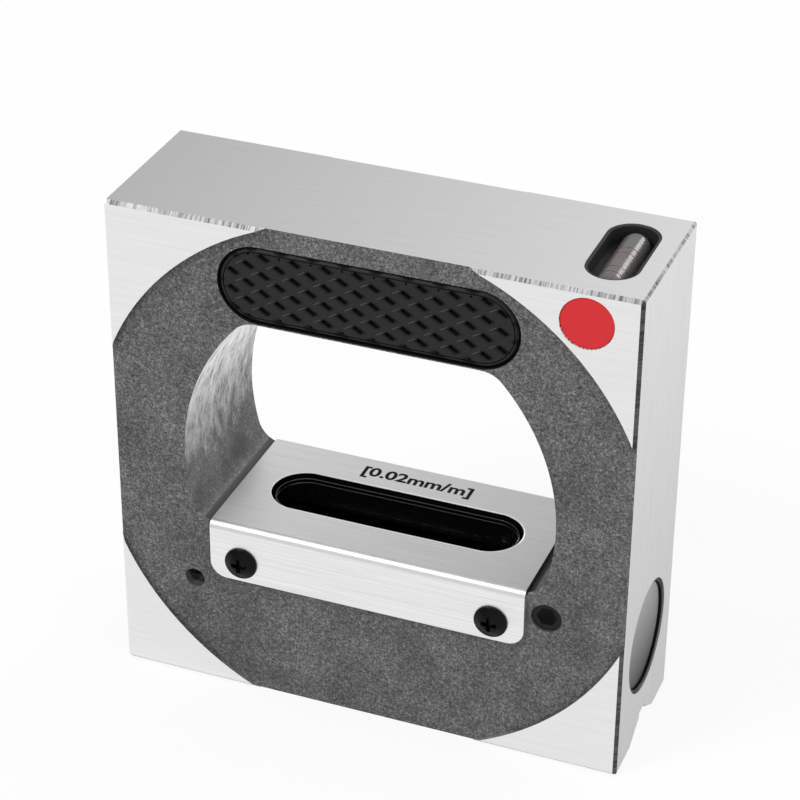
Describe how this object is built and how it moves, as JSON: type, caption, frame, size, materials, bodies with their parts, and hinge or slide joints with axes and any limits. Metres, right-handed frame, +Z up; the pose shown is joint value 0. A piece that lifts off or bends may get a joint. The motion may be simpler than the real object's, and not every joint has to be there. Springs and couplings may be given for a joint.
{
  "type": "precision frame level",
  "caption": "Square cast-iron machinist's frame level with ground faces, a main vial in the base bar, a cross vial in the top bar and black hand grips.",
  "frame": {"origin": "middle of the base, at the centre of the bounding box's bottom face", "axes": "+X along the main vial towards the adjusting end, -Y out of the operator's face, +Z up"},
  "size_m": [0.15, 0.0528, 0.15],
  "materials": {
    "cast_iron_frame": "ground bright on the faces, painted dark grey with a fine grain on the cast areas",
    "stainless_sheet": "brushed along its length",
    "black_screw": "black oxide, satin",
    "grip_rubber": "satin moulding with a diamond relief",
    "black_moulding": "glossy",
    "cap_steel": "satin",
    "carrier_brass": "turned",
    "adjusting_steel": "turned",
    "vial_glass": "clear",
    "vial_liquid": "clear spirit",
    "bubble_air": "clear",
    "bedding_plaster": "matt white plaster",
    "red_moulding": "satin"
  },
  "bodies": {
    "frame": {"frame_body": "cast_iron_frame", "cover_plate": "stainless_sheet", "cover_screw_front_left": "black_screw", "cover_screw_front_right": "black_screw", "cover_screw_rear_left": "black_screw", "cover_screw_rear_right": "black_screw", "front_grip": "grip_rubber", "rear_grip": "grip_rubber", "vial_sleeve": "black_moulding", "slot_liner": "black_moulding", "end_cap_left": "cap_steel", "end_cap_right": "cap_steel", "pivot_screw_front": "adjusting_steel", "pivot_screw_rear": "adjusting_steel", "carrier_spring": "adjusting_steel", "cross_vial_holder": "black_moulding", "cross_vial_glass": "vial_glass", "cross_vial_liquid": "vial_liquid", "red_plug": "red_moulding", "cross_lock_screw": "adjusting_steel"},
    "vial_unit": {"vial_carrier": "carrier_brass", "main_vial_glass": "vial_glass", "main_vial_liquid": "vial_liquid", "vial_bedding_left": "bedding_plaster", "vial_bedding_right": "bedding_plaster"},
    "adjuster": {"zero_adjuster": "adjusting_steel"},
    "main_bubble": {"main_bubble": "bubble_air"},
    "cross_bubble": {"cross_bubble": "bubble_air"}
  },
  "joints": [
    {"name": "zero_adjuster_turn", "type": "hinge", "parent": "frame", "child": "adjuster", "pos_m": [0.0526, -0.02, 0.04705], "axis": [0, 1, 0], "range_deg": [-45, 45]},
    {"name": "vial_carrier_tilt", "type": "hinge", "parent": "frame", "child": "vial_unit", "pos_m": [-0.0526, 0, 0.03335], "axis": [0, 1, 0], "range_deg": [-0.23, 0.23]},
    {"name": "main_bubble_slide", "type": "slide", "parent": "vial_unit", "child": "main_bubble", "axis": [1, 0, 0], "range_m": [-0.014, 0.014], "stiffness_N_per_m": 0.5},
    {"name": "cross_bubble_slide", "type": "slide", "parent": "frame", "child": "cross_bubble", "axis": [0, 1, 0], "range_m": [-0.004, 0.004], "stiffness_N_per_m": 0.5}
  ],
  "couplings": [
    {"joint": "zero_adjuster_turn", "follows": "vial_carrier_tilt", "ratio": 195.31}
  ]
}
